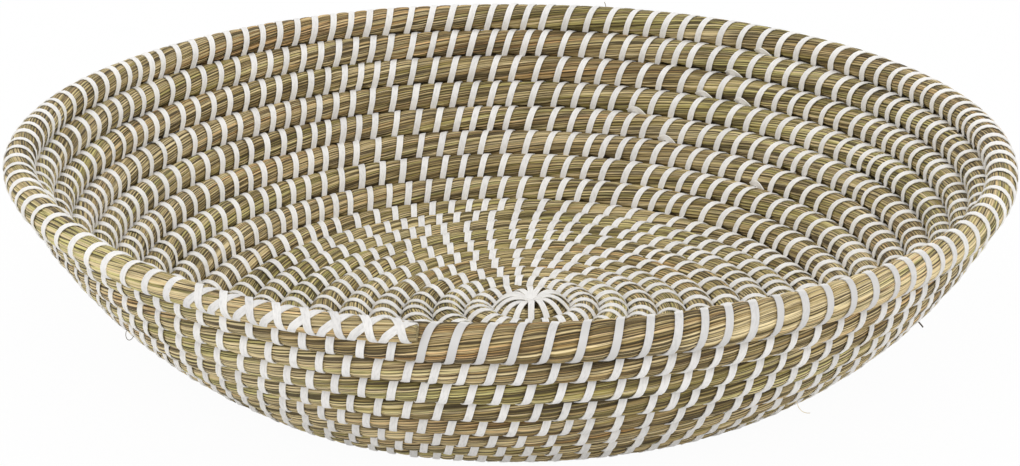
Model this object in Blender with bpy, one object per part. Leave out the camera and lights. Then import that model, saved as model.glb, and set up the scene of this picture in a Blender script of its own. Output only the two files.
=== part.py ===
"""Coiled basket: one long bundle of seagrass, bound row to row with flat white plastic strip.

The bundle starts thin under the star in the middle, lies flat for the base, climbs row on row
for the wall, and thins out again where it ends on top of the rim. Metres, +Z up. The basket
stands on z = 0 with the middle of its outline over the origin.
"""
import math

import bmesh
import bpy
import numpy as np

MM = 0.001

# The bundle and the strip that binds it
bundle_diameter = 11.4 * MM
strip_width = 2.8 * MM
strip_thickness = 0.4 * MM
strip_clearance = 0.3 * MM
end_gap = 0.3 * MM

# How the coil winds, in turns counted from its inner end
coil_start_radius = 3.6 * MM
base_turns = 9.95
wall_turns = 8.7
lower_wall_turns = 4.0
rim_turns = 1.0
first_seam_turn = 1.0
foot_turns = 1.0
wall_angle_low = math.radians(33)
wall_angle_high = math.radians(60.5)
lashed_angle = math.radians(43)
settling_turns = 0.12
coil_end_heading = math.radians(-99.6)

# How the bundle thins towards its two ends
start_taper_turns = 1.0
start_thickness_share = 0.45
end_taper_turns = 0.06
lashed_turns = 0.075
lashed_thickness_share = 0.64
end_thickness_share = 0.4

# The base is pressed flat where it stands, by this share of the bundle's diameter
pressed_share = 0.1

# The strip wound round the last of the rim, and the lashing that crosses over the thin end
end_strip_loops = 24
stitch_spacing = 10.2 * MM
cross_count = 8
crossing_gap = 1.4 * MM

# The star over the start of the coil
star_radius = 15.5 * MM
star_spokes = 15

# Finishes: colour and roughness
base_grass = (0.43, 0.37, 0.23), 0.75
lower_wall_grass = (0.47, 0.41, 0.25), 0.75
upper_wall_grass = (0.51, 0.44, 0.28), 0.75
rim_grass = (0.55, 0.47, 0.30), 0.75
white_strip = (0.86, 0.85, 0.80), 0.4

# Facets
steps_per_turn = 24
bundle_sides = 6
smooth_below = math.radians(70)
samples_per_step = 4
ring_samples = 8

# What follows from the sizes above
half_step = math.pi / steps_per_turn
half_side = math.pi / bundle_sides
row_gap = strip_thickness + 2 * strip_clearance
bundle_radius = bundle_diameter / 2
bundle_top = bundle_radius * math.cos(half_side)
floor_height = bundle_diameter * pressed_share - bundle_radius
strip_lift = strip_clearance + strip_thickness / 2
crossing_lift = strip_thickness + crossing_gap
station_count = round((base_turns + wall_turns) * steps_per_turn) + 1
coil_turns = (station_count - 1) / steps_per_turn


def eased(share):
    """Rise from 0 to 1 with level ends."""
    share = np.clip(share, 0, 1)
    return share * share * (3 - 2 * share)


def thickness_share(turn):
    """Thickness of the bundle at a turn, as a share of its full thickness."""
    left = coil_turns - turn
    begin = np.interp(turn, (0, start_taper_turns), (start_thickness_share, 1))
    finish = np.interp(left, (0, lashed_turns, lashed_turns + end_taper_turns),
                       (end_thickness_share, lashed_thickness_share, 1))
    return np.minimum(begin, finish)


def row_angle(turn):
    """Slope of the step from the row before to this one: flat in the base, steeper up the wall.

    The thin end lies lower again, on the outer shoulder of the row before.
    """
    risen = turn - base_turns
    slope = wall_angle_low + (wall_angle_high - wall_angle_low) * eased(risen / wall_turns)
    slope *= eased(risen / foot_turns)
    unlashed = coil_turns - lashed_turns - turn
    return slope + (lashed_angle - slope) * eased(1 - unlashed / settling_turns)


def wind_coil():
    """Lay each point of the coil against the point one turn before it."""
    turn = np.arange(station_count) / steps_per_turn
    radius = bundle_radius * thickness_share(turn)
    slope = row_angle(turn)
    first_step = (radius[0] + radius[steps_per_turn] + row_gap) / math.cos(half_step)
    reach = coil_start_radius + turn * first_step
    height = np.zeros(station_count)
    for i in range(steps_per_turn, station_count):
        before = i - steps_per_turn
        step = (radius[before] + radius[i] + row_gap) / math.cos(half_step)
        reach[i] = reach[before] + step * math.cos(slope[i])
        height[i] = height[before] + step * math.sin(slope[i])
    heading = coil_end_heading + 2 * math.pi * (turn - coil_turns)
    out = np.stack([np.cos(heading), np.sin(heading), np.zeros(station_count)], 1)
    up = np.array([0, 0, 1])
    centre = out * reach[:, None] + up * height[:, None]
    onward = out * np.cos(slope)[:, None] + up * np.sin(slope)[:, None]
    inward = up * np.cos(slope)[:, None] - out * np.sin(slope)[:, None]
    return {"turn": turn, "centre": centre, "onward": onward, "inward": inward,
            "slope": slope, "radius": radius, "reach": reach}


coil = wind_coil()


def at_turn(values, turn):
    """Read values at any turn, on the straight line between two points of the coil."""
    turn = np.asarray(turn, float)
    index = np.clip(turn * steps_per_turn, 0, station_count - 1)
    low = np.minimum(index.astype(int), station_count - 2)
    share = index - low
    if values.ndim > 1:
        share = share.reshape(share.shape + (1,) * (values.ndim - 1))
    return values[low] * (1 - share) + values[low + 1] * share


def turns_of(length, turn):
    """Turns that a length takes up along the coil near a turn."""
    return length / (2 * math.pi * at_turn(coil["reach"], turn))


def stretch(start, end):
    """Turns of the coil's points between two turns, with both ends."""
    inner = coil["turn"][(coil["turn"] > start) & (coil["turn"] < end)]
    return np.concatenate([[start], inner, [end]])


def mid_step(turn):
    """The middle of the straight step that holds a turn, where two lengths can meet squarely."""
    return (math.floor(turn * steps_per_turn) + 0.5) / steps_per_turn


def lengths(*joints):
    """Start and end turns of the lengths between joints, drawn back to leave a gap at each."""
    spans = []
    for start, end in zip(joints[:-1], joints[1:]):
        after = turns_of(end_gap / 2, start) if start > joints[0] else 0
        short = turns_of(end_gap / 2, end) if end < joints[-1] else 0
        spans.append((start + after, end - short))
    return spans


def add_mesh(name, mesh, finish):
    """Put a mesh in the scene as a named piece with a finish of its own."""
    colour, roughness = finish
    material = bpy.data.materials.new(name + "_finish")
    material.use_nodes = True
    shader = material.node_tree.nodes["Principled BSDF"]
    shader.inputs["Base Color"].default_value = (*colour, 1)
    shader.inputs["Roughness"].default_value = roughness
    shader.inputs["Metallic"].default_value = 0
    material.diffuse_color = (*colour, 1)
    mesh.materials.clear()
    mesh.materials.append(material)
    piece = bpy.data.objects.new(name, mesh)
    bpy.context.collection.objects.link(piece)
    return piece


def bundle(name, start, end, finish):
    """A length of the coil: a round bundle along its points, pressed flat at the floor."""
    turns = stretch(start, end)
    curve = bpy.data.curves.new(name, "CURVE")
    curve.dimensions = "3D"
    curve.twist_mode = "Z_UP"
    curve.resolution_u = 1
    curve.render_resolution_u = 0
    curve.bevel_depth = bundle_radius
    curve.bevel_resolution = bundle_sides // 2 - 2
    curve.use_fill_caps = True
    spline = curve.splines.new("POLY")
    spline.points.add(len(turns) - 1)
    rows = zip(spline.points, at_turn(coil["centre"], turns), at_turn(coil["slope"], turns),
               at_turn(coil["radius"], turns) / bundle_radius)
    for point, place, slope, share in rows:
        point.co = (*place, 1)
        point.tilt = -slope
        point.radius = share
    guide = bpy.data.objects.new(name + "_path", curve)
    bpy.context.collection.objects.link(guide)
    mesh = bpy.data.meshes.new_from_object(guide.evaluated_get(bpy.context.evaluated_depsgraph_get()))
    bpy.data.objects.remove(guide)
    bpy.data.curves.remove(curve)
    for vertex in mesh.vertices:
        vertex.co.z = max(vertex.co.z, floor_height)
    mesh.shade_smooth()
    mesh.set_sharp_from_angle(angle=smooth_below)
    mesh.name = name
    return add_mesh(name, mesh, finish)


def skin(name, rings, finish):
    """Join rings of points into one closed strip with flat ends."""
    shape = bmesh.new()
    loops = [[shape.verts.new(point) for point in ring] for ring in rings]
    for ring, following in zip(loops[:-1], loops[1:]):
        for i in range(len(ring)):
            j = (i + 1) % len(ring)
            shape.faces.new((ring[i], ring[j], following[j], following[i]))
    shape.faces.new(loops[0])
    shape.faces.new(loops[-1])
    bmesh.ops.recalc_face_normals(shape, faces=shape.faces)
    mesh = bpy.data.meshes.new(name)
    shape.to_mesh(mesh)
    shape.free()
    return add_mesh(name, mesh, finish)


def seam_strip(name, start, end, finish):
    """The strip where it passes between a row and the row before it, as one flat band."""
    here = np.arange(steps_per_turn, station_count)
    before = here - steps_per_turn
    share = ((coil["radius"][before] + row_gap / 2)
             / (coil["radius"][before] + coil["radius"][here] + row_gap))[:, None]
    middle = np.zeros((station_count, 3))
    middle[here] = coil["centre"][before] * (1 - share) + coil["centre"][here] * share
    across = coil["inward"] * strip_width / 2
    through = coil["onward"] * strip_thickness / 2
    rings = np.stack([middle - across - through, middle + across - through,
                      middle + across + through, middle - across + through], 1)
    return skin(name, at_turn(rings, stretch(start, end)), finish)


def on_bundle(turn, angle, lift):
    """A point over the bundle: angle 0 faces the next row, a quarter turn faces into the bowl."""
    onward = at_turn(coil["onward"], turn) * np.cos(angle)[:, None]
    inward = at_turn(coil["inward"], turn) * np.sin(angle)[:, None]
    away = (at_turn(coil["radius"], turn) + lift)[:, None]
    return at_turn(coil["centre"], turn) + (onward + inward) * away


def wound_rings(turn, angle, lift):
    """Rings of a flat strip wound round the bundle and creased along each of its edges."""
    run = np.gradient(turn) / turns_of(1, turn)
    wrap = np.gradient(angle) * at_turn(coil["radius"], turn)
    lean = np.hypot(run, wrap) / np.abs(wrap)
    half = turns_of(strip_width / 2, turn) * lean
    low, high = lift - strip_thickness / 2, lift + strip_thickness / 2
    return np.stack([on_bundle(turn - half, angle, low), on_bundle(turn + half, angle, low),
                     on_bundle(turn + half, angle, high), on_bundle(turn - half, angle, high)], 1)


def end_strip_rings(start, end):
    """One strip in its loops round the rim, from outside over the top to inside."""
    count = end_strip_loops * bundle_sides
    angle = math.pi + 2 * half_side * np.arange(count + 1)
    turn = np.linspace(start, end, count + 1)
    return wound_rings(turn, angle, np.full(count + 1, strip_lift))


def cross_lashing_rings(start, end):
    """A strip wound along the thin end and back, so that its two passes cross on both faces."""
    sides = bundle_sides
    out = cross_count * sides
    back = out + sides // 2
    around = sides // 2
    step = (end - start) / (out + around)
    turn = start + around * step / 2 + step * np.concatenate([
        np.arange(out), np.linspace(out, out, around + 1), out - np.arange(1, back)])
    order = np.arange(len(turn))
    angle = math.pi + 2 * half_side * order
    returning = order > out + around
    in_seam = order % sides == 0
    lift = strip_lift + crossing_lift * (returning & ~in_seam)
    return wound_rings(turn, angle, lift)


def star(name, height, finish):
    """Flat star of strips that cross over the start of the coil."""
    valley = strip_width / 2 / math.sin(math.pi / star_spokes)
    shape = bmesh.new()
    outline = []
    for i in range(star_spokes):
        heading = 2 * math.pi * i / star_spokes
        along = np.array([math.cos(heading), math.sin(heading), 0])
        aside = np.array([-math.sin(heading), math.cos(heading), 0])
        notch = heading + math.pi / star_spokes
        outline.append(along * star_radius - aside * strip_width / 2)
        outline.append(along * star_radius + aside * strip_width / 2)
        outline.append(valley * np.array([math.cos(notch), math.sin(notch), 0]))
    lower = shape.faces.new([shape.verts.new((x, y, height)) for x, y, _ in outline])
    raised = bmesh.ops.extrude_face_region(shape, geom=[lower])["geom"]
    moved = [item for item in raised if isinstance(item, bmesh.types.BMVert)]
    bmesh.ops.translate(shape, vec=(0, 0, strip_thickness), verts=moved)
    bmesh.ops.recalc_face_normals(shape, faces=shape.faces)
    mesh = bpy.data.meshes.new(name)
    shape.to_mesh(mesh)
    shape.free()
    return add_mesh(name, mesh, finish)


def least_gap(points, radii, apart):
    """Least distance between the surfaces of points that lie at least so many places apart."""
    order = np.arange(len(points))
    least = math.inf
    for i in range(len(points) - apart):
        others = order[i + apart:]
        distance = np.linalg.norm(points[others] - points[i], axis=1) - radii[others] - radii[i]
        least = min(least, distance.min())
    return least


def report_gaps(strips):
    """Print the least gap of each wound form to itself."""
    turn = np.linspace(0, coil_turns, (station_count - 1) * samples_per_step + 1)
    gap = least_gap(at_turn(coil["centre"], turn), at_turn(coil["radius"], turn),
                    steps_per_turn * samples_per_step * 3 // 4)
    print("coil: least gap between its turns %.2f mm" % (gap / MM))
    share = np.arange(samples_per_step) / samples_per_step
    for name, rings in strips.items():
        step = rings[:-1, None] * (1 - share)[:, None, None] + rings[1:, None] * share[:, None, None]
        step = step.reshape(-1, 4, 3)
        points = np.concatenate([step, (step + np.roll(step, 1, 1)) / 2], 1)
        points = points.reshape(-1, 3)
        half_loop = ring_samples * samples_per_step * (bundle_sides // 2)
        gap = least_gap(points, np.zeros(len(points)), half_loop)
        print("%s: least gap between its loops %.2f mm" % (name, gap / MM))


def stand_on_origin(pieces):
    """Hang the pieces on an empty that puts the middle of their outline over the origin."""
    corners = np.array([corner[:] for piece in pieces for corner in piece.bound_box])
    low, high = corners.min(0), corners.max(0)
    basket = bpy.data.objects.new("basket", None)
    bpy.context.collection.objects.link(basket)
    basket.location = (-(low[0] + high[0]) / 2, -(low[1] + high[1]) / 2, -low[2])
    for piece in pieces:
        piece.parent = basket


def build():
    """Make every piece of the basket."""
    for thing in list(bpy.data.objects):
        bpy.data.objects.remove(thing)

    foot = mid_step(base_turns)
    mid_wall = mid_step(base_turns + lower_wall_turns)
    rim_start = mid_step(coil_turns - rim_turns)
    lashing_start = coil_turns - lashed_turns
    end_strip_turns = turns_of(end_strip_loops * stitch_spacing, lashing_start)
    end_strip_start = lashing_start - end_strip_turns
    seam_end = end_strip_start - turns_of(strip_width, end_strip_start)

    names = ("base", "lower_wall", "upper_wall", "rim")
    grasses = (base_grass, lower_wall_grass, upper_wall_grass, rim_grass)
    spans = lengths(0, foot, mid_wall, rim_start, coil_turns)
    pieces = [bundle(name + "_coil", *span, grass)
              for name, span, grass in zip(names, spans, grasses)]
    seams = lengths(first_seam_turn, foot, mid_wall, rim_start, seam_end)
    pieces += [seam_strip(name + "_binding", *span, white_strip)
               for name, span in zip(names, seams)]

    wound = {"rim_end_strip": end_strip_rings(end_strip_start, lashing_start),
             "rim_cross_lashing": cross_lashing_rings(lashing_start, coil_turns)}
    pieces += [skin(name, rings, white_strip) for name, rings in wound.items()]
    pieces.append(star("centre_star", bundle_top + strip_clearance, white_strip))

    report_gaps(wound)
    bpy.context.view_layer.update()
    stand_on_origin(pieces)


build()
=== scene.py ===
"""The looks of the coiled basket: its bundle of stems, the strip that binds it, the star and the lashing.

The coil is wound here by the same rule and sizes as the part's source, so each row lies on its
solid. Metres, +Z up. The rows are counted in turns from the inner end of the coil, and a spot on
the bundle is a turn and an angle: 0 faces the next row, a quarter turn faces into the bowl, and half
a turn either way is the seam with the row before. A place round the basket is three numbers in
degrees: the middle heading, the half width and the soft edge beyond it.
"""
import math

import bpy
import numpy as np
from mathutils import Matrix, Vector


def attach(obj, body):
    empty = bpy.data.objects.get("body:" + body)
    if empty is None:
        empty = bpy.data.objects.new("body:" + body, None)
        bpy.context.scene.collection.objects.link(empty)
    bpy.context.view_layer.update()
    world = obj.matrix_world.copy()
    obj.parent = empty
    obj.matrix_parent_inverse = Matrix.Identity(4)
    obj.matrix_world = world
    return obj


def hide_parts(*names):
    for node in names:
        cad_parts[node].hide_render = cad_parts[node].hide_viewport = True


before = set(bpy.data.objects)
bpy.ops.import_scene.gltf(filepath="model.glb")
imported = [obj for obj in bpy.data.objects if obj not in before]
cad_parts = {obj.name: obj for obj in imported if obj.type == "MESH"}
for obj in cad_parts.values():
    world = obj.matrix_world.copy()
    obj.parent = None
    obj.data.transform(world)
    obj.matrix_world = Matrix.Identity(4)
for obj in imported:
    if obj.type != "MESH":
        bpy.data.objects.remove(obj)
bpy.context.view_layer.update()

MM = 0.001

# The coil's sizes, as the solids have them
bundle_diameter = 11.4 * MM
strip_width = 2.8 * MM
strip_thickness = 0.4 * MM
row_gap = 1.0 * MM
coil_start_radius = 3.6 * MM
base_turns = 9.95
wall_turns = 8.7
lower_wall_turns = 4.0
foot_turns = 1.0
wall_angle_low = math.radians(33)
wall_angle_high = math.radians(60.5)
lashed_angle = math.radians(43)
settling_turns = 0.12
coil_end_heading = math.radians(-99.6)
cad_steps_per_turn = 24
cad_start_shares = (0, 1), (0.45, 1)
cad_end_shares = (0, 0.075, 0.135), (0.4, 0.64, 1)
lashed_turns = 0.075
pressed_share = 0.1
end_strip_loops = 24
end_strip_spacing = 10.2 * MM

# The fine winding of the same coil
steps_per_turn = 240

# The middle of the base stands a little high, and to the right of the pole
dome_height = 3.0 * MM
dome_reach = 70 * MM
middle_shift = np.array((3.3, 1.5, 0)) * MM
middle_shift_reach = 110 * MM

# The wall is pushed in a little on the left in front, and its rim sags a little in front
dent_depth = 3.4 * MM
dent_place = -139, 5, 30
sag_depth = 1.4 * MM
sag_place = -82, 20, 50

# The bundle is thicker in front, where its end lies beside it
rim_swell_share = 0.12
rim_swell_place = -80, 16, 20
rim_swell_turns = 0.65, 1.25

# Stems of the bundle, and the rings of their surface between two stitches: where each lies from the
# edge of a strip to the middle, how far it is drawn in and how much painted shadow of the strip it has
stem_count = 30
stem_side_radius = 5.95 * MM
stem_touch_radius = 6.2 * MM
stem_ridge = 0.15 * MM
stem_recess = 0.2 * MM
stem_twist_length = 290 * MM
stem_wander_share = 0.4
bundle_swell_share = 0.015
pinch_depth = 0.26 * MM
pinched_relief_share = 0.4
bulge_height = 0.06 * MM
loose_ring_spacing = 2.0 * MM
ring_half_strip = 1.3 * MM
ring_places = np.array((0, 0.16, 0.42, 1))
ring_pinches = np.array((1, 0.9, 0.22, 0))
ring_painted_shadows = np.array((1, 0.4, 0, 0))
start_shares = (0, 1), (0.86, 1)
end_shares = (0, 0.0015, 0.006, 0.06, 0.1, 0.15), (0.42, 0.57, 0.64, 0.66, 0.82, 1)
underside_height = 0.45 * MM
least_ring_gap = 0.1 * MM
stem_sharp_angle = math.radians(75)

# Where the stitches are: those of the star, then the spacing wanted and how far a row may leave it
star_spokes = 15
star_first_turn = 0.25
middle_spacing = 5.4 * MM
wide_spacing = 9.1 * MM
spacing_reach = 70 * MM
spacing_jitter_share = 0.03
evening_share = 0.45
widest_gap_share = 1.38
narrowest_gap_share = 0.62
even_up_turns = 0.1
last_gap_share = 0.1
drift_share = 0.22
brick_wall_place = -125, 30, 25
brick_base_place = 170, 60, 30

# How a stitch goes round the bundle: how far it is ahead of its middle at an angle, as a share of the
# spacing, and where it leans less. It leaves the bundle for the seam at the leave angle
stitch_samples = 17
stitch_reach_angle = math.radians(170)
leave_angle = math.radians(136)
path_degrees = (-170, -136, -90, -45, 0, 45, 90, 136, 170)
path_shares = (-0.73, -0.48, -0.3, -0.14, 0.0, 0.19, 0.37, 0.53, 0.63)
path_power = 6
upright_place = -132, 15, 22
upright_lean_share = 0.45

# The rings of the stems follow the stitches, except in the seam and where nothing is sewn
seam_angle = math.radians(150)
first_sewn_turn = 0.9
first_sewn_fade = 0.4
last_sewn_fade = 0.02

# Strip
strip_lift = 0.22 * MM
strip_crown = 0.1 * MM
strip_crown_share = 0.45
strip_sharp_angle = math.radians(35)

# A spot on a row counts as outside below the first angle, and as inside above the second
outside_angle = 0.6
inside_angle = 0.3

# Camera, which stands where the photograph was taken from
camera_from_pole = (0, -0.9904, 0.4048)
camera_elevation = math.radians(20.62)
camera_roll = -0.0066
camera_lens = 92.06
camera_shift = (-0.0065, 0.0139)


def eased(share):
    """Rise from 0 to 1 with level ends."""
    share = np.clip(share, 0, 1)
    return share * share * (3 - 2 * share)


def region(heading, middle, half, soft):
    """1 within half a width of the middle heading, easing to 0 over the soft edge. Degrees."""
    away = np.abs((np.degrees(heading) - middle + 180) % 360 - 180)
    return 1 - eased((away - half) / soft)


def unit(vectors):
    """The same vectors with a length of 1."""
    return vectors / np.linalg.norm(vectors, axis=1)[:, None]


def run_of(points):
    """How far along a line of points each of them lies."""
    return np.concatenate([[0], np.cumsum(np.linalg.norm(np.diff(points, axis=0), axis=1))])


def corners_of(node):
    """The corners of a solid, each one once."""
    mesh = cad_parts[node].data
    flat = np.empty(len(mesh.vertices) * 3)
    mesh.vertices.foreach_get("co", flat)
    return np.unique(np.round(flat.reshape(-1, 3), 6), axis=0)


def wind_coil():
    """Lay each point of the coil against the point one turn before it, as the solids are laid."""
    turns = round((base_turns + wall_turns) * cad_steps_per_turn) / cad_steps_per_turn
    count = round(turns * steps_per_turn) + 1
    turn = np.arange(count) / steps_per_turn
    cad_share = np.minimum(np.interp(turn, *cad_start_shares), np.interp(turns - turn, *cad_end_shares))
    radius = bundle_diameter / 2 * cad_share
    risen = turn - base_turns
    slope = wall_angle_low + (wall_angle_high - wall_angle_low) * eased(risen / wall_turns)
    slope = slope * eased(risen / foot_turns)
    slope += (lashed_angle - slope) * eased(1 - (turns - lashed_turns - turn) / settling_turns)
    chord = math.cos(math.pi / cad_steps_per_turn)
    reach = coil_start_radius + turn * (radius[0] + radius[steps_per_turn] + row_gap) / chord
    height = np.zeros(count)
    for first in range(steps_per_turn, count, steps_per_turn):
        row = np.arange(first, min(first + steps_per_turn, count))
        before = row - steps_per_turn
        step = (radius[before] + radius[row] + row_gap) / chord
        reach[row] = reach[before] + step * np.cos(slope[row])
        height[row] = height[before] + step * np.sin(slope[row])
    heading = coil_end_heading + 2 * math.pi * (turn - turns)
    out = np.stack([np.cos(heading), np.sin(heading), np.zeros(count)], 1)
    up = np.array([0, 0, 1])
    pole = corners_of("centre_star").mean(0)
    pole[2] = bundle_diameter * (0.5 - pressed_share)
    centre = pole + out * reach[:, None] + up * height[:, None]
    onward = out * np.cos(slope)[:, None] + up * np.sin(slope)[:, None]
    inward = up * np.cos(slope)[:, None] - out * np.sin(slope)[:, None]
    share = np.minimum(np.interp(turn, *start_shares), np.interp(turns - turn, *end_shares))
    swell = (turns - turn > rim_swell_turns[0]) & (turns - turn < rim_swell_turns[1])
    share = share + rim_swell_share * region(heading, *rim_swell_place) * swell
    thicker = bundle_diameter / 2 * (share - cad_share) * (turn > 1)
    centre = centre + onward * thicker[:, None]
    centre = centre + middle_shift * eased(1 - reach / middle_shift_reach)[:, None]
    centre[:, 2] += dome_height * eased(1 - reach / dome_reach)
    dent = dent_depth * region(heading, *dent_place) * reach / reach[-1]
    sag = sag_depth * region(heading, *sag_place) * height / height[-1]
    centre = centre - out * dent[:, None] - up * sag[:, None]
    return {"turn": turn, "centre": centre, "onward": onward, "inward": inward, "reach": reach,
            "share": share, "length": run_of(centre), "heading": heading, "turns": turns, "pole": pole}


coil = wind_coil()
coil_turns = coil["turns"]
coil_length = coil["length"][-1]


def along(name, turn):
    """Read one of the coil's values at any turn."""
    values = coil[name]
    if values.ndim == 1:
        return np.interp(turn, coil["turn"], values)
    return np.stack([np.interp(turn, coil["turn"], column) for column in values.T], -1)


def turn_at(row, heading):
    """The turn at a heading in degrees, on a row counted inwards from the rim."""
    return coil_turns - row - (coil_end_heading - math.radians(heading)) / (2 * math.pi) % 1


def spoke_at(turn, angle):
    """The direction out of the bundle at an angle round it."""
    return along("onward", turn) * np.cos(angle)[..., None] + along("inward", turn) * np.sin(angle)[..., None]


def wandering(cell, columns, seed):
    """Smooth random values from -1 to 1 along the bundle, one for each column, as a function of length."""
    draw = np.random.default_rng(seed)
    knots = draw.uniform(-1, 1, (int(coil_length / cell) + 3, columns))
    offset = draw.uniform(0, 1, columns)
    column = np.arange(columns)

    def read(length):
        place = length[:, None] / cell + offset
        low = place.astype(int)
        share = eased(place - low)
        return knots[low, column] * (1 - share) + knots[low + 1, column] * share

    return read


def stitch_spacing(reach):
    """Stitches stand closer together in the middle of the base than on the wall."""
    return middle_spacing + (wide_spacing - middle_spacing) * eased(reach / spacing_reach)


star_turns = star_first_turn + np.arange(star_spokes) / star_spokes


def lay_stitches(draw):
    """Turns of the stitches, sewn outwards from the star.

    Each stitch is set beside the one a turn before it. Where a gap has grown too wide an extra one
    goes between, and where two crowd together one is left out. In front on the left, and on the left
    of the base, each row's stitches are set back a little, which makes the bricks that show there. The
    last few are evened up, so that the last one stands just before the lashing.
    """
    laid = list(star_turns)
    before = 0
    end = coil_turns - lashed_turns
    while True:
        here = laid[-1]
        around = 2 * math.pi * along("reach", here)
        space = stitch_spacing(along("reach", here)) / around
        heading = along("heading", here)
        front_left = region(heading, *brick_wall_place) * (here > base_turns)
        base_left = region(heading, *brick_base_place) * (here < base_turns)
        drift = -drift_share * space * (front_left + base_left)
        while laid[before] + 1 + drift < here + narrowest_gap_share * space:
            before += 1
        following = laid[before] + 1 + drift
        if following - here > widest_gap_share * space:
            following = here + (following - here) / 2
        else:
            before += 1
        following += evening_share * (here + space - following)
        following += space * draw.uniform(-spacing_jitter_share, spacing_jitter_share)
        if following > end:
            laid = np.array(laid)
            late = end - last_gap_share * space - laid[-1]
            return laid + late * eased(1 - (laid[-1] - laid) / even_up_turns)
        laid.append(following)


stitch_turn = lay_stitches(np.random.default_rng(19))
stitch_path = np.polynomial.Polynomial.fit(np.radians(path_degrees), path_shares, path_power)


def stitch_offset(turn, angle):
    """Turns by which a stitch runs ahead of its middle at an angle round the bundle.

    A strip goes round as a coil that moves on by one spacing in each loop. It runs nearly straight
    up the outer face and hooks back at its foot there, and it leans over the inner face.
    """
    space = stitch_spacing(along("reach", turn)) / (2 * math.pi * along("reach", turn))
    upright = region(along("heading", turn), *upright_place) * (turn > base_turns)
    return space * stitch_path(angle) * (1 + (upright_lean_share - 1) * upright)


def ring_offset(turn, angle):
    """The same for the rings of the stems, which close up in the seam and where nothing is sewn."""
    share = np.clip((np.abs(angle) - seam_angle) / (math.pi - seam_angle), 0, 1)
    near = stitch_offset(turn, np.clip(angle, -seam_angle, seam_angle))
    end = coil_turns - lashed_turns + last_sewn_fade
    sewn = eased((turn - first_sewn_turn) / first_sewn_fade) * eased((end - turn) / last_sewn_fade)
    return near * (1 - share) * sewn


def touch(turn, angle):
    """1 where the bundle meets a row beside it, and 0 where it is free."""
    free = (turn > coil_turns - 1) & (np.cos(angle) > 0)
    return np.where(free, 0, np.cos(angle) ** 4)


def plain_radius(turn, angle):
    """Radius of the bundle without its stems, a little wider where it is pressed against a row."""
    round_radius = stem_side_radius + (stem_touch_radius - stem_side_radius) * touch(turn, angle)
    return round_radius * along("share", turn)


def mesh_object(name, points, faces, material, attributes=(), sharp=math.radians(50)):
    """A named mesh with its faces turned outwards. Each of its faces has the same number of corners."""
    points = points.reshape(-1, 3)
    fan = [points[faces[:, [0, i, i + 1]]] for i in range(1, faces.shape[1] - 1)]
    volume = sum(np.einsum("ij,ij->i", f[:, 0], np.cross(f[:, 1], f[:, 2])).sum() for f in fan)
    if volume < 0:
        faces = faces[:, ::-1]
    mesh = bpy.data.meshes.new(name)
    mesh.vertices.add(len(points))
    mesh.vertices.foreach_set("co", points.astype(np.float32).ravel())
    mesh.loops.add(faces.size)
    mesh.loops.foreach_set("vertex_index", faces.astype(np.int32).ravel())
    mesh.polygons.add(len(faces))
    mesh.polygons.foreach_set("loop_start", np.arange(0, faces.size, faces.shape[1], dtype=np.int32))
    for label, values in attributes:
        store = mesh.attributes.new(label, "FLOAT_VECTOR", "POINT")
        store.data.foreach_set("vector", values.astype(np.float32).ravel())
    mesh.update(calc_edges=True)
    mesh.shade_smooth()
    mesh.set_sharp_from_angle(angle=sharp)
    mesh.materials.append(material)
    piece = bpy.data.objects.new(name, mesh)
    bpy.context.scene.collection.objects.link(piece)
    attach(piece, "root")
    return piece


def tube_faces(rings, sides):
    """Faces of a tube of rings, with each end closed by folding its ring shut."""
    ring = np.arange(rings - 1)[:, None] * sides
    side = np.arange(sides)
    after = (side + 1) % sides
    walls = np.stack([ring + side, ring + after, ring + sides + after, ring + sides + side], -1)
    low = np.arange(sides // 2 - 1)
    fold = np.stack([low, low + 1, sides - 2 - low, sides - 1 - low], -1)
    return np.concatenate([walls.reshape(-1, 4), fold[:, ::-1], fold + (rings - 1) * sides])


def wrap_point(turn, angle, lift):
    """A point on a strip drawn round the bundle. Past the leave angle the strip runs straight on."""
    past = np.maximum(np.abs(angle) - leave_angle, 0)
    away = (plain_radius(turn, angle) + lift) / np.cos(past)
    spoke = spoke_at(turn, angle)
    return along("centre", turn) + spoke * away[..., None], spoke


def ribbon(name, points, normals, widths, tones, material):
    """A flat strip along points: slightly crowned, square at its edges, flat towards the bundle.

    A ring of it is corner = point + across * half width * wide + normal * high, for each wide and
    high in side.
    """
    ahead = unit(np.gradient(points, axis=0))
    normals = unit(normals - ahead * np.einsum("ij,ij->i", normals, ahead)[:, None])
    across = np.cross(ahead, normals)
    half = (widths / 2)[:, None]
    thick = strip_thickness
    crown = thick + strip_crown
    side = [(-1, 0), (1, 0), (1, thick), (strip_crown_share, crown), (-strip_crown_share, crown), (-1, thick)]
    rings = np.stack([points + across * half * wide + normals * high for wide, high in side], 1)
    floor = np.array([max(high - strip_crown, 0) if high else 0 for _, high in side])
    rings[..., 2] = np.maximum(rings[..., 2], floor)
    place = np.array([wide for wide, _ in side])
    looks = np.stack([np.broadcast_to(part, rings.shape[:2])
                      for part in (place, run_of(points)[:, None], tones[:, None])], -1)
    return mesh_object(name, rings, tube_faces(len(points), len(side)), material, [("strip_place", looks)],
                       strip_sharp_angle)


strip_draw = np.random.default_rng(23)

# How stitches differ: their lift in millimetres, slew in degrees, and width and shade as shares
lift_range = -0.06, 0.1
slew_range = -7, 7
width_range = -0.07, 0.05
shade_range = 0, 1

# Painted shade and light on the strip: greyer outside in front, most of all on the rim, and whiter inside on
# both sides
strip_front_place = -80, 30, 30
strip_front_painted_shade = 0.6
strip_rim_painted_shade = 2.6
strip_right_place = 0, 35, 30
strip_left_place = 180, 35, 30
strip_side_painted_light = 0.6


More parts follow.
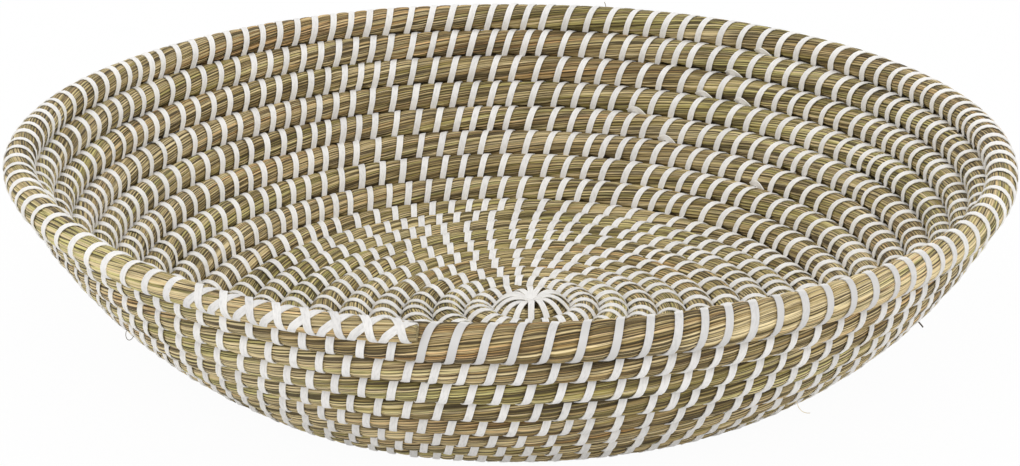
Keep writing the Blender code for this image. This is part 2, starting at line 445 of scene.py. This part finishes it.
def stitches(name, low, high, node, material):
    """One strip sewn round the bundle at every stitch from one turn up to another.

    A stitch comes up from the seam outside, over the top and down into the seam inside, leaning
    forward as it goes, and the strip then passes through the row before to the next stitch.
    """
    turns = stitch_turn[(stitch_turn >= low) & (stitch_turn < high)]
    angle = np.linspace(-stitch_reach_angle, stitch_reach_angle, stitch_samples)
    count = len(turns)
    turn = turns[:, None] + stitch_offset(turns[:, None], angle[None, :])
    angle = np.broadcast_to(angle, turn.shape)
    lift = strip_lift - pinch_depth + strip_draw.uniform(*lift_range, (count, 1)) * MM
    points, spoke = wrap_point(turn, angle, lift)
    slew = np.radians(strip_draw.uniform(*slew_range, (count, 1)))
    way = np.cross(along("onward", turn), along("inward", turn))
    normals = spoke + way * np.sin(slew)[..., None]
    width = strip_width * (1 + strip_draw.uniform(*width_range, (count, 1))) * np.ones_like(turn)
    heading = along("heading", turn)
    on_wall = turn > base_turns
    front = region(heading, *strip_front_place) * (angle < outside_angle) * on_wall
    side = np.maximum(region(heading, *strip_right_place), region(heading, *strip_left_place))
    side = side * (angle > inside_angle) * on_wall
    # Tone greys the strip: a random shade of its own, painted shade in front and more on the rim, and painted
    # light inside on both sides
    tone = (strip_draw.uniform(*shade_range, (count, 1))
            + front * np.where(turn > coil_turns - 1, strip_rim_painted_shade, strip_front_painted_shade)
            - strip_side_painted_light * side)
    piece = ribbon(name, points.reshape(-1, 3), normals.reshape(-1, 3), width.ravel(), tone.ravel(), material)
    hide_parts(node)


# What varies along the bundle: the length over which it does, how many columns differ, and the seed
stem_wander = wandering(45 * MM, stem_count, 1)
stem_depth = wandering(38 * MM, stem_count, 2)
stem_tone = wandering(55 * MM, stem_count, 3)
stem_hue = wandering(120 * MM, stem_count, 4)
stem_fine_tone = wandering(16 * MM, 2 * stem_count, 5)
bundle_swell = wandering(70 * MM, 1, 6)
bundle_hue = wandering(90 * MM, 1, 7)
bundle_tone = wandering(60 * MM, 1, 8)

# Tone of the stems, from dark at 0 to light at 1: its middle, and the share of each thing that varies it
middle_tone = 0.57
own_tone_share = 0.26
fine_tone_share = 0.1
bundle_tone_share = 0.1
# Painted shadow on the stems beside each strip
contact_painted_shade = 0.28
# Painted shade in the seams where the bundle meets the rows beside it
seam_painted_shade = 0.6

# Bleached stems on both sides in front and under the lashing are lighter and more even
pale_left_place = -138, 22, 35
pale_right_place = -35, 15, 30
pale_less_share = 0.6
pale_end_turns = 0.13
pale_tone = 0.25
pale_evenness = 0.5
pale_rim_evenness = 0.25
pale_groove_evenness = 0.5

# Painted shade darkens the bundle in front, and its outer side is lighter with more contrast and a
# painted shadow in the seams above and below each row
front_place = -82, 20, 25
front_from_turn = base_turns + 1
# Painted shade on the stems in front, and more on the front of the rim
front_painted_shade = 0.16
front_rim_turns = 0.5, 1.2
front_rim_painted_shade = 0.09
outer_place = -90, 75, 25
outer_from_turn = base_turns + 0.5
outer_tone = 0.1
outer_own_tone_share = 0.24
# Painted shadow along the seams of the outer side
outer_seam_painted_shade = 0.45

# How much lighter or darker the rim is along its way: turns before the coil's end, shift of its tone
rim_tones = np.array((
    (0.05, 0), (0.075, 0.08), (0.095, 0.12), (0.125, 0.05), (0.16, -0.16), (0.22, -0.1), (0.3, 0),
    (0.66, -0.02), (0.70, -0.14), (0.74, -0.28), (0.77, -0.17), (0.80, -0.03), (0.83, 0.2), (0.85, 0.5),
    (0.88, 0.28), (0.91, 0.2), (0.93, 0.2), (0.95, 0.02), (0.965, -0.12), (0.985, -0.12), (1.03, 0),
))

# Hue of the stems, from green at 0 to red at 1
middle_hue = 0.5
own_hue_share = 0.38
bundle_hue_share = 0.2
hue_patch_soft = 20

# Where the bundle is redder or greener: turns before its end, middle heading and half width, shift
hue_patches = (
    (0.6, 2.2, -72, 25, 0.2),
    (0.0, 0.075, -103, 5, 0.15),
    (0.0, 0.2, -146, 16, -0.2),
    (2.3, 3.2, -95, 30, -0.28),
    (3.3, 4.2, -90, 30, -0.1),
    (4.3, 6.2, -105, 30, 0.12),
    (0.3, 0.8, 68, 14, -0.4),
    (0.3, 1.8, 105, 16, 0.18),
    (1.3, 4.8, 35, 16, -0.25),
)


def between(crest):
    """Spread values of the stems over the crests and the grooves between them."""
    groove = (crest + np.roll(crest, -1, 1)) / 2
    return np.stack([crest, groove], 2).reshape(len(crest), -1)


def lay_rings():
    """Places of the rings of the stems along the bundle, how far each is drawn in, and its painted contact
    shadow.

    Between two stitches there is a ring at the edge of each strip, one just beside it, one on the
    shoulder and one in the middle. Where nothing is sewn the rings are evenly spaced.
    """
    sewn = along("length", stitch_turn)
    gap = np.diff(sewn)[:, None]
    free = gap / 2 - ring_half_strip
    near = ring_half_strip + ring_places * free
    place = sewn[:-1, None] + np.concatenate([near, gap - near[:, -2::-1]], 1)
    pinch = np.broadcast_to(np.concatenate([ring_pinches, ring_pinches[-2::-1]]), place.shape)
    contact = np.broadcast_to(np.concatenate([ring_painted_shadows, ring_painted_shadows[-2::-1]]), place.shape)
    start = np.arange(0, sewn[0] - loose_ring_spacing, loose_ring_spacing)
    end = np.arange(sewn[-1] + loose_ring_spacing, coil_length, loose_ring_spacing)
    loose = np.zeros(len(start)), np.zeros(len(end))
    return (np.concatenate([start, place.ravel(), end]),
            np.concatenate([loose[0], pinch.ravel(), loose[1]]),
            np.concatenate([loose[0], contact.ravel(), loose[1]]))


ring_length, ring_pinch, ring_painted_shadow = lay_rings()


def stem_looks(turn, angle, length, middle, contact):
    """Tone, hue and depth in the groove on the face of the stems, at each corner of their rings. The tone
    holds painted shade beside the strips, in the seams, under each row outside and in front.
    """
    heading = along("heading", turn)
    touching = touch(turn, angle)
    before_end = coil_turns - turn
    pale = np.maximum(region(heading, *pale_left_place), pale_less_share * region(heading, *pale_right_place))
    pale = pale * (turn > base_turns) * (angle < outside_angle)
    pale = np.maximum(pale, pale_less_share * (before_end < pale_end_turns))
    rim_pale = pale * (turn > coil_turns - 1)
    front = region(heading, *front_place) * (angle < outside_angle) * (turn > front_from_turn)
    front_rim = front * (before_end > front_rim_turns[0]) * (before_end < front_rim_turns[1])
    outer = region(heading, *outer_place) * (angle < 0) * (turn > outer_from_turn)
    own_tone = between(stem_tone(length))
    outer_own_tone = outer_own_tone_share * own_tone * (1 - pale_evenness * (pale + rim_pale))
    even = pale_evenness * pale + pale_rim_evenness * rim_pale
    tone = (middle_tone + own_tone_share * own_tone * (1 - even)
            + fine_tone_share * stem_fine_tone(length) + bundle_tone_share * bundle_tone(length)
            + outer * (outer_tone + outer_own_tone - outer_seam_painted_shade * touching ** 2)
            + np.interp(before_end, rim_tones[:, 0], rim_tones[:, 1]) + pale_tone * pale
            - contact_painted_shade * contact - seam_painted_shade * touching ** 4
            - front_painted_shade * front - front_rim_painted_shade * front_rim)
    hue = middle_hue + own_hue_share * between(stem_hue(length)) + bundle_hue_share * bundle_hue(length)
    for first, last, middle_heading, half, shift in hue_patches:
        here = (coil_turns - middle > first) & (coil_turns - middle < last)
        hue = hue + shift * here * region(along("heading", middle), middle_heading, half, hue_patch_soft)
    groove = np.tile([0.0, 1.0], stem_count) * (1 - pale_groove_evenness * rim_pale)
    return np.stack([tone, hue, groove], -1)


def stems(name, low, high, node, material):
    """A length of the bundle between two turns: stems side by side, twisted, drawn in under each stitch.

    Around it, crest and groove columns take turns and follow the stems. The radius is the plain
    radius, plus the crest or groove, plus each stem's own depth, less the pinch at the stitches.
    """
    start, end = along("length", np.array([low, high]))
    inside = (ring_length > start + least_ring_gap) & (ring_length < end - least_ring_gap)
    length = np.concatenate([[start], ring_length[inside], [end]])
    pinch = np.interp(length, ring_length, ring_pinch)[:, None]
    contact = np.interp(length, ring_length, ring_painted_shadow)[:, None]
    middle = np.interp(length, coil["length"], coil["turn"])[:, None]
    columns = 2 * stem_count
    pitch = 2 * math.pi / columns
    angle = (np.arange(columns) * pitch + (2 * math.pi * length / stem_twist_length)[:, None]
             + between(stem_wander(length)) * stem_wander_share * 2 * pitch)
    angle = (angle + math.pi) % (2 * math.pi) - math.pi
    turn = middle + ring_offset(middle, angle)
    share = along("share", turn)
    relief = np.tile([stem_ridge, -stem_ridge], stem_count) * (1 - pinched_relief_share * pinch)
    depth = between(stem_depth(length)) * stem_recess
    bulge = bulge_height - (pinch_depth + bulge_height) * pinch
    radius = (plain_radius(turn, angle) * (1 + bundle_swell_share * bundle_swell(length))
              + (relief + depth) * np.sqrt(share) + bulge * share)
    points = along("centre", turn) + spoke_at(turn, angle) * radius[..., None]
    points[..., 2] = np.maximum(points[..., 2], underside_height)

    round_place = np.arange(columns) * pitch
    ring = stem_count / (2 * math.pi)
    place = np.stack([np.broadcast_to(ring * np.cos(round_place), turn.shape),
                      np.broadcast_to(ring * np.sin(round_place), turn.shape),
                      along("length", turn)], -1)
    looks = stem_looks(turn, angle, length, middle, contact)
    piece = mesh_object(name, points, tube_faces(len(length), columns), material,
                        [("stem_place", place), ("stem_looks", looks)], stem_sharp_angle)
    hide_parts(node)


# Where the strip lies slack in the inner seam beside a stitch: row below the rim, heading and solid
slack_places = (
    (0, 54.5, "rim_binding"),
    (1, 56.5, "upper_wall_binding"),
    (2, 62.5, "upper_wall_binding"),
    (2, 55.0, "upper_wall_binding"),
    (3, 71.5, "upper_wall_binding"),
    (4, 66.0, "upper_wall_binding"),
    (5, 43.5, "lower_wall_binding"),
)
slack_reach = 8.0 * MM
slack_width = 2.7 * MM
slack_height = 1.3 * MM
slack_samples = 11
slack_foot_angle = math.radians(155)
slack_lead_share = 0.1

# The angle of a slack arc round the bundle, in degrees: at its start, its rise, and its dip on the way
slack_start_angle = 156
slack_rise = 13
slack_dip = 22


def slack_loops(material):
    """Short arcs of strip that come out of the seam behind a stitch and go back in beside it."""
    share = np.linspace(0, 1, slack_samples)
    arch = np.sin(math.pi * share)
    angle = np.radians(slack_start_angle + slack_rise * share - slack_dip * arch)
    width = np.full(slack_samples, slack_width)
    tone = np.zeros(slack_samples)
    feet = stitch_turn + stitch_offset(stitch_turn, slack_foot_angle)
    for number, (row, heading, node) in enumerate(slack_places):
        foot = feet[np.abs(feet - turn_at(row, heading)).argmin()]
        span = slack_reach / (2 * math.pi * along("reach", foot))
        turn = foot + span * (slack_lead_share - share)
        points, spoke = wrap_point(turn, angle, strip_lift + slack_height * arch)
        piece = ribbon("slack_loop_%d" % (number + 1), points, spoke, width, tone, material)
        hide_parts(node)


# Loose ends of stem: row below the rim, heading and angle where each comes out, its solid, its radius
# and tone, and the three further points of its curve, sideways and up from there, in millimetres
loose_ends = (
    (4, 209.3, -120, "upper_wall_coil", 0.13, 0.1, ((-2.2, -3.5), (0.2, -7.5), (2.4, -2.6))),
    (3, 328.2, -90, "upper_wall_coil", 0.3, -0.6, ((0.6, -0.6), (1.4, -1.5), (2.0, -2.4))),
    (5, 310.0, -80, "lower_wall_coil", 0.1, 0.9, ((0.3, -2.5), (1.5, -6.0), (5.2, -5.6))),
    (0, 77.4, 20, "rim_coil", 0.16, 0.2, ((-0.1, 0.9), (-0.3, 1.8), (-0.7, 2.6))),
)
loose_samples = 14
loose_sides = 6
loose_grain_length = 10 * MM
loose_hue = 0.5


def loose_stems(material):
    """Thin ends that stand off the bundle, each a tube on a cubic curve from the bundle's side.

    The curve runs through (1-s)^3 A + 3s(1-s)^2 B + 3s^2(1-s) C + s^3 D, for s from 0 to 1.
    """
    share = np.linspace(0, 1, loose_samples)[:, None]
    rest = 1 - share
    weights = np.hstack([rest ** 3, 3 * share * rest ** 2, 3 * share ** 2 * rest, share ** 3])
    depth = np.array([0, 1, 0])
    round_place = np.arange(loose_sides) * 2 * math.pi / loose_sides
    for number, (row, heading, angle, node, radius, tone, bends) in enumerate(loose_ends):
        start, _ = wrap_point(np.array([turn_at(row, heading)]), np.radians([angle]), 0)
        bends = np.array([(0, 0, 0)] + [(side, 0, up) for side, up in bends]) * MM
        line = start + weights @ bends
        across = np.cross(unit(np.gradient(line, axis=0)), depth)
        circle = np.cos(round_place)[:, None] * depth + np.sin(round_place)[:, None] * across[:, None]
        points = line[:, None] + circle * radius * MM
        place = np.broadcast_to(share[:, None] * loose_grain_length, points.shape)
        looks = np.broadcast_to(np.array([tone, loose_hue, 0]), points.shape)
        piece = mesh_object("loose_stem_%d" % (number + 1), points, tube_faces(loose_samples, loose_sides),
                            material, [("stem_place", place), ("stem_looks", looks)])
        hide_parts(node)


# The lashing: its crosses over a length of the coil's thin end, and how a strip runs round the bundle.
# At each angle the two strips of a cross stand apart by a share of its width, and both lean by another.
# One is raised over the other round the place where they cross
cross_count = 8
cross_span_turns = 0.0695
cross_end_turns = 0.0005
cross_degrees = (-170, -125, -52, 3, 50, 90, 170)
cross_shares = (-0.38, -0.42, -0.26, 0, 0.25, 0.36, 0.4)
cross_lean_shares = (-0.2, -0.16, -0.06, 0.1, 0.12, 0.05, 0)
cross_over_place = -5, 45, 30
# Tone of the crossed strips: a random shade of their own plus painted shade, which greys them where they face
# the light on the rim
cross_painted_shade_range = 1.1, 2.1


def cross_lashing(material):
    """Crossed stitches over the thin end: two strips that swap sides high on its outer face."""
    pitch = cross_span_turns / cross_count
    middle = coil_turns - cross_end_turns - pitch * (np.arange(cross_count) + 0.5)
    angle = np.linspace(-stitch_reach_angle, stitch_reach_angle, 2 * stitch_samples - 1)
    share = np.interp(np.degrees(angle), cross_degrees, cross_shares)
    lean = np.interp(np.degrees(angle), cross_degrees, cross_lean_shares)
    for number, (name, way) in enumerate((("lower_cross_strip", 1), ("upper_cross_strip", -1))):
        turn = middle[:, None] + (way * share + lean) * pitch
        around = np.broadcast_to(angle, turn.shape)
        raised = number * strip_thickness * region(around, *cross_over_place)
        points, spoke = wrap_point(turn, around, strip_lift - pinch_depth / 2 + raised)
        width = np.full(turn.size, strip_width)
        tone = np.repeat(strip_draw.uniform(*cross_painted_shade_range, cross_count), len(angle))
        piece = ribbon(name, points.reshape(-1, 3), spoke.reshape(-1, 3), width, tone, material)
        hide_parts("rim_cross_lashing")


# The star: spokes that cross a little beyond its hub, are highest halfway, and end within two radii
star_middle = np.array((2.7, 0.5, 0)) * MM
star_hub_radius = -0.3 * MM
star_crest_share = 0.5
star_clearance = 0.3 * MM
star_reach_limits = 14.5 * MM, 17.5 * MM
star_hub_drop = 3.2 * MM
star_end_drop = 5.4 * MM
star_end_power = 2.4
star_height_range = 0, 1.3
star_width_share = 0.9
star_hub_narrowing = 0.4
star_samples = 16


def star(material):
    """Spokes of strip that rise from the hub, arch over the first turn and dive into its outer seam."""
    level = np.array([1, 1, 0])
    up = np.array([0, 0, 1.0])
    middle = coil["pole"] + middle_shift + star_middle
    crest = coil["pole"][2] + dome_height + stem_side_radius + star_clearance
    share = np.linspace(0, 1, star_samples)
    before = np.clip(1 - share / star_crest_share, 0, 1)
    after = np.clip((share - star_crest_share) / (1 - star_crest_share), 0, 1)
    width = strip_width * (star_width_share - star_hub_narrowing * before ** 2)
    for number, turn in enumerate(star_turns):
        seam, _ = wrap_point(np.array([turn]), np.array([0.0]), row_gap / 2)
        way = (seam[0] - middle) * level
        reach = np.clip(np.linalg.norm(way), *star_reach_limits)
        way /= np.linalg.norm(way)
        out = star_hub_radius + (reach - star_hub_radius) * share
        high = crest - star_hub_drop * before ** 2 - star_end_drop * after ** star_end_power
        high += strip_draw.uniform(*star_height_range) * MM * (1 - after)
        points = middle * level + way * out[:, None] + up * high[:, None]
        normals = np.broadcast_to(up, points.shape)
        tone = np.full(star_samples, strip_draw.uniform(*shade_range))
        piece = ribbon("star_spoke_%02d" % (number + 1), points, normals, width, tone, material)
        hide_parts("centre_star")


def group_of(name, inputs, outputs):
    """A shader node group with named sockets, and its input and output nodes."""
    group = bpy.data.node_groups.new(name, "ShaderNodeTree")
    for label, kind in inputs:
        group.interface.new_socket(label, in_out="INPUT", socket_type="NodeSocket" + kind)
    for label, kind in outputs:
        group.interface.new_socket(label, in_out="OUTPUT", socket_type="NodeSocket" + kind)
    return group, group.nodes.new("NodeGroupInput"), group.nodes.new("NodeGroupOutput")


def add(tree, kind, values=(), **settings):
    """A node with its settings and inputs. An input is a value, or the socket that feeds it."""
    node = tree.nodes.new("ShaderNode" + kind)
    for label, value in settings.items():
        setattr(node, label, value)
    for label, value in dict(values).items():
        if isinstance(value, bpy.types.NodeSocket):
            tree.links.new(value, node.inputs[label])
        else:
            node.inputs[label].default_value = value
    return node


def maths(tree, operation, first, second, clamp=False):
    """The result of one sum on two values or sockets."""
    return add(tree, "Math", {0: first, 1: second}, operation=operation, use_clamp=clamp).outputs[0]


def mixed(tree, factor, first, second, blend="MIX"):
    """Two colours mixed by a factor."""
    node = add(tree, "Mix", {0: factor, 6: first, 7: second}, data_type="RGBA", blend_type=blend)
    return node.outputs[2]


def scaled_noise(tree, place, scales, detail, rough=0.5):
    """Noise with so many cells to a unit along each axis of a place."""
    scaled = add(tree, "VectorMath", {0: place, 1: scales}, operation="MULTIPLY")
    return add(tree, "TexNoise", {"Vector": scaled.outputs[0], "Scale": 1.0, "Detail": detail,
                                  "Roughness": rough}).outputs["Fac"]


def stretched_noise(tree, place, across, lengthwise, detail):
    """Noise drawn out along the stems: cells of so many to a stem and so long."""
    return scaled_noise(tree, place, (across, across, 1 / lengthwise), detail, 0.6)


def spread(tree, value, low, high, bottom=0.0, top=1.0):
    """A value stretched from one range to another and held within it."""
    return add(tree, "MapRange", {0: value, 1: low, 2: high, 3: bottom, 4: top}).outputs[0]


def make_stem_grain():
    """Colour and height of dried stems: each stem's own tone and hue, streaks and fibres along it, and
    the dark lines between stems, which come and go."""
    tree, given, result = group_of(
        "stem_grain",
        [("Place", "Vector"), ("Looks", "Vector"), ("Dark", "Color"), ("Middle", "Color"), ("Light", "Color"),
         ("Red", "Color"), ("Green", "Color")],
        [("Color", "Color"), ("Height", "Float"), ("Roughness", "Float")])
    looks = add(tree, "SeparateXYZ", {0: given.outputs["Looks"]}).outputs
    place = given.outputs["Place"]
    streak = spread(tree, stretched_noise(tree, place, 1.1, 80 * MM, 1.0), 0.3, 0.7)
    fibre = spread(tree, stretched_noise(tree, place, 4.5, 50 * MM, 2.0), 0.34, 0.66)
    crack = stretched_noise(tree, place, 2.3, 45 * MM, 1.0)
    fine_crack = stretched_noise(tree, place, 4.4, 30 * MM, 1.0)
    value = maths(tree, "MULTIPLY", looks[0], 0.95)
    value = maths(tree, "ADD", value, maths(tree, "MULTIPLY", streak, 0.35))
    value = maths(tree, "ADD", value, maths(tree, "MULTIPLY", fibre, 0.6))
    value = maths(tree, "SUBTRACT", value, 0.34)
    colour = mixed(tree, spread(tree, value, 0, 0.5), given.outputs["Dark"], given.outputs["Middle"])
    colour = mixed(tree, spread(tree, value, 0.5, 1), colour, given.outputs["Light"])
    hue = maths(tree, "ADD", looks[1], maths(tree, "MULTIPLY", maths(tree, "SUBTRACT", streak, 0.5), 0.5))
    colour = mixed(tree, spread(tree, hue, 0.72, 1.1, 0, 0.8), colour, given.outputs["Red"], "MULTIPLY")
    colour = mixed(tree, spread(tree, hue, 0.45, 0.1, 0, 0.85), colour, given.outputs["Green"], "MULTIPLY")
    fine_split = spread(tree, fine_crack, 0.59, 0.64, 0, 0.75)
    split = maths(tree, "MAXIMUM", spread(tree, crack, 0.565, 0.615), fine_split)
    between_stems = maths(tree, "MULTIPLY", spread(tree, looks[2], 0.45, 0.8), spread(tree, crack, 0.38, 0.5))
    line = maths(tree, "MAXIMUM", split, between_stems)
    colour = mixed(tree, maths(tree, "MULTIPLY", line, 0.92), colour, given.outputs["Dark"])
    height = maths(tree, "SUBTRACT", maths(tree, "MULTIPLY", fibre, 0.5), line)
    tree.links.new(colour, result.inputs["Color"])
    tree.links.new(height, result.inputs["Height"])
    tree.links.new(spread(tree, fibre, 0, 1, 0.5, 0.8), result.inputs["Roughness"])
    return tree


def make_strip_grain():
    """Colour and height of the strip: each length's own shade, a painted highlight on its edges, drawn lines,
    and soft dirt mixed with painted shade.
    """
    tree, given, result = group_of(
        "strip_grain",
        [("Place", "Vector"), ("White", "Color"), ("Edge highlight", "Color"), ("Soiled and shaded", "Color")],
        [("Color", "Color"), ("Height", "Float"), ("Roughness", "Float")])
    place = given.outputs["Place"]
    parts = add(tree, "SeparateXYZ", {0: place}).outputs
    drawn = scaled_noise(tree, place, (7.0, 1 / (14 * MM), 31.0), 2.0)
    soft = scaled_noise(tree, place, (2.2, 1 / (2 * MM), 17.0), 3.0)
    # Painted highlight: the strip turns lighter towards its edges
    edge = maths(tree, "POWER", maths(tree, "ABSOLUTE", parts[0], 0.0), 4.0)
    soil_and_shade = spread(tree, soft, 0.45, 0.8, 0.0, 0.5)
    # The tone given with each strip adds grey: its own shade, with painted shade in front and painted light
    # inside on the sides
    soil_and_shade = maths(tree, "ADD", soil_and_shade, maths(tree, "MULTIPLY", parts[2], 0.3), clamp=True)
    colour = mixed(tree, edge, given.outputs["White"], given.outputs["Edge highlight"])
    tree.links.new(mixed(tree, soil_and_shade, colour, given.outputs["Soiled and shaded"]), result.inputs["Color"])
    tree.links.new(drawn, result.inputs["Height"])
    tree.links.new(spread(tree, drawn, 0.3, 0.7, 0.3, 0.48), result.inputs["Roughness"])
    return tree


def finish_of(name, group, attributes, colours, bump, specular):
    """A material whose colour, roughness and relief come from a grain group."""
    material = bpy.data.materials.new(name)
    material.use_nodes = True
    tree = material.node_tree
    shader = tree.nodes["Principled BSDF"]
    grain = tree.nodes.new("ShaderNodeGroup")
    grain.node_tree = group
    for socket, label in attributes:
        source = add(tree, "Attribute", attribute_name=label)
        tree.links.new(source.outputs["Vector"], grain.inputs[socket])
    for socket, value in colours.items():
        grain.inputs[socket].default_value = value
    relief = add(tree, "Bump", {"Height": grain.outputs["Height"], "Distance": bump, "Strength": 1.0})
    tree.links.new(grain.outputs["Color"], shader.inputs["Base Color"])
    tree.links.new(grain.outputs["Roughness"], shader.inputs["Roughness"])
    tree.links.new(relief.outputs["Normal"], shader.inputs["Normal"])
    shader.inputs["Specular IOR Level"].default_value = specular
    return material


stem_grain = make_stem_grain()
strip_grain = make_strip_grain()


def grass(name, dark, middle, light):
    """A grass finish in three shades."""
    return finish_of(name, stem_grain, [("Place", "stem_place"), ("Looks", "stem_looks")],
                     {"Dark": dark, "Middle": middle, "Light": light, "Red": (0.93, 0.68, 0.48, 1),
                      "Green": (0.86, 0.96, 0.66, 1)}, 0.25 * MM, 0.35)


wall_grass = grass("wall_grass", (0.045, 0.029, 0.011, 1), (0.43, 0.31, 0.12, 1), (0.85, 0.69, 0.39, 1))
base_grass = grass("base_grass", (0.055, 0.038, 0.013, 1), (0.49, 0.37, 0.142, 1), (0.90, 0.74, 0.41, 1))
# The strip's own white, a painted highlight on its edges, and a grey for dirt and painted shade
white_strip = finish_of("white_strip", strip_grain, [("Place", "strip_place")],
                        {"White": (0.855, 0.83, 0.80, 1), "Edge highlight": (0.96, 0.94, 0.89, 1),
                         "Soiled and shaded": (0.55, 0.535, 0.52, 1)}, 0.03 * MM, 0.45)

# Where the lengths of the bundle and of the strip begin. Three lengths of stems are made in two pieces,
# which keeps each under the limit of triangles
foot = base_turns
mid_wall = base_turns + lower_wall_turns
rim_start = coil_turns - 1
lashing_start = coil_turns - lashed_turns
end_strip_length = end_strip_loops * end_strip_spacing
end_strip_start = lashing_start - end_strip_length / (2 * math.pi * along("reach", lashing_start))
sewn_from = star_first_turn + 1 - 0.5 / star_spokes
base_parting = 6.8
lower_parting = foot + 2
upper_parting = mid_wall + 1.9

stems("base_stems_inner", 0, base_parting, "base_coil", base_grass)
stems("base_stems_outer", base_parting, foot, "base_coil", base_grass)
stems("lower_wall_stems_1", foot, lower_parting, "lower_wall_coil", wall_grass)
stems("lower_wall_stems_2", lower_parting, mid_wall, "lower_wall_coil", wall_grass)
stems("upper_wall_stems_1", mid_wall, upper_parting, "upper_wall_coil", wall_grass)
stems("upper_wall_stems_2", upper_parting, rim_start, "upper_wall_coil", wall_grass)
stems("rim_stems", rim_start, coil_turns, "rim_coil", wall_grass)
stitches("base_stitches", sewn_from, foot, "base_binding", white_strip)
stitches("lower_wall_stitches", foot, mid_wall, "lower_wall_binding", white_strip)
stitches("upper_wall_stitches", mid_wall, rim_start, "upper_wall_binding", white_strip)
stitches("rim_stitches", rim_start, end_strip_start, "rim_binding", white_strip)
stitches("rim_end_stitches", end_strip_start, lashing_start, "rim_end_strip", white_strip)
slack_loops(white_strip)
loose_stems(wall_grass)
cross_lashing(white_strip)
star(white_strip)


floor_half_width = 4.0
floor_white_share = 0.965


def make_floor():
    """A wide pale floor. What the camera sees of it is mostly white and keeps some of the shadow."""
    mesh = bpy.data.meshes.new("floor")
    half = floor_half_width
    mesh.from_pydata([(-half, -half, 0), (half, -half, 0), (half, half, 0), (-half, half, 0)],
                     [], [(0, 1, 2, 3)])
    material = bpy.data.materials.new("pale_floor")
    material.use_nodes = True
    tree = material.node_tree
    tree.nodes.clear()
    pale = add(tree, "BsdfDiffuse", {"Color": (0.88, 0.88, 0.88, 1)})
    white = add(tree, "Emission", {"Color": (1, 1, 1, 1), "Strength": 1.0})
    factor = maths(tree, "MULTIPLY", seen_directly(tree), floor_white_share)
    shader = add(tree, "MixShader", {0: factor, 1: pale.outputs[0], 2: white.outputs[0]})
    add(tree, "OutputMaterial", {"Surface": shader.outputs[0]})
    mesh.materials.append(material)
    floor = bpy.data.objects.new("floor", mesh)
    bpy.context.scene.collection.objects.link(floor)


def seen_directly(tree):
    """1 for rays from the camera, in a mirror or through glass, and 0 for light that falls on things."""
    path = add(tree, "LightPath").outputs
    seen = maths(tree, "MAXIMUM", path["Is Camera Ray"], path["Is Glossy Ray"])
    return maths(tree, "MAXIMUM", seen, path["Is Transmission Ray"])


def make_world():
    """White where it is seen, and an even soft light on the basket."""
    world = bpy.data.worlds.new("studio")
    world.use_nodes = True
    bpy.context.scene.world = world
    tree = world.node_tree
    tree.nodes.clear()
    light = add(tree, "Background", {"Color": (0.98, 0.99, 1.0, 1), "Strength": 1.06})
    white = add(tree, "Background", {"Color": (1, 1, 1, 1), "Strength": 1.0})
    shader = add(tree, "MixShader", {0: seen_directly(tree), 1: light.outputs[0], 2: white.outputs[0]})
    add(tree, "OutputWorld", {"Surface": shader.outputs[0]})


def make_lamp(name, place, aim, size, power, colour):
    """A square soft lamp that faces a point."""
    lamp = bpy.data.lights.new(name, "AREA")
    lamp.size = size
    lamp.energy = power
    lamp.color = colour
    holder = bpy.data.objects.new(name, lamp)
    bpy.context.scene.collection.objects.link(holder)
    holder.location = place
    holder.rotation_euler = (Vector(place) - Vector(aim)).to_track_quat("Z", "Y").to_euler()


def make_camera():
    """The photograph's camera: its place, tilt, small roll, lens and framing."""
    view = bpy.data.cameras.new("camera")
    view.lens = camera_lens
    view.sensor_width = 36
    view.shift_x, view.shift_y = camera_shift
    view.clip_start = 0.05
    camera = bpy.data.objects.new("camera", view)
    bpy.context.scene.collection.objects.link(camera)
    tilt = Matrix.Rotation(math.pi / 2 - camera_elevation, 3, "X") @ Matrix.Rotation(camera_roll, 3, "Z")
    camera.location = coil["pole"] + np.array(camera_from_pole)
    camera.rotation_euler = tilt.to_euler()
    bpy.context.scene.camera = camera


make_floor()
make_world()
make_lamp("high_front", (0.1, -1.5, 1.2), (0, 0.1, 0.03), 1.0, 6, (1, 0.985, 0.96))
make_lamp("low_front", (-0.2, -1.9, 0.4), (0, -0.1, 0.05), 1.0, 2, (1, 0.99, 0.97))
make_camera()
bpy.context.scene.view_settings.view_transform = "Standard"
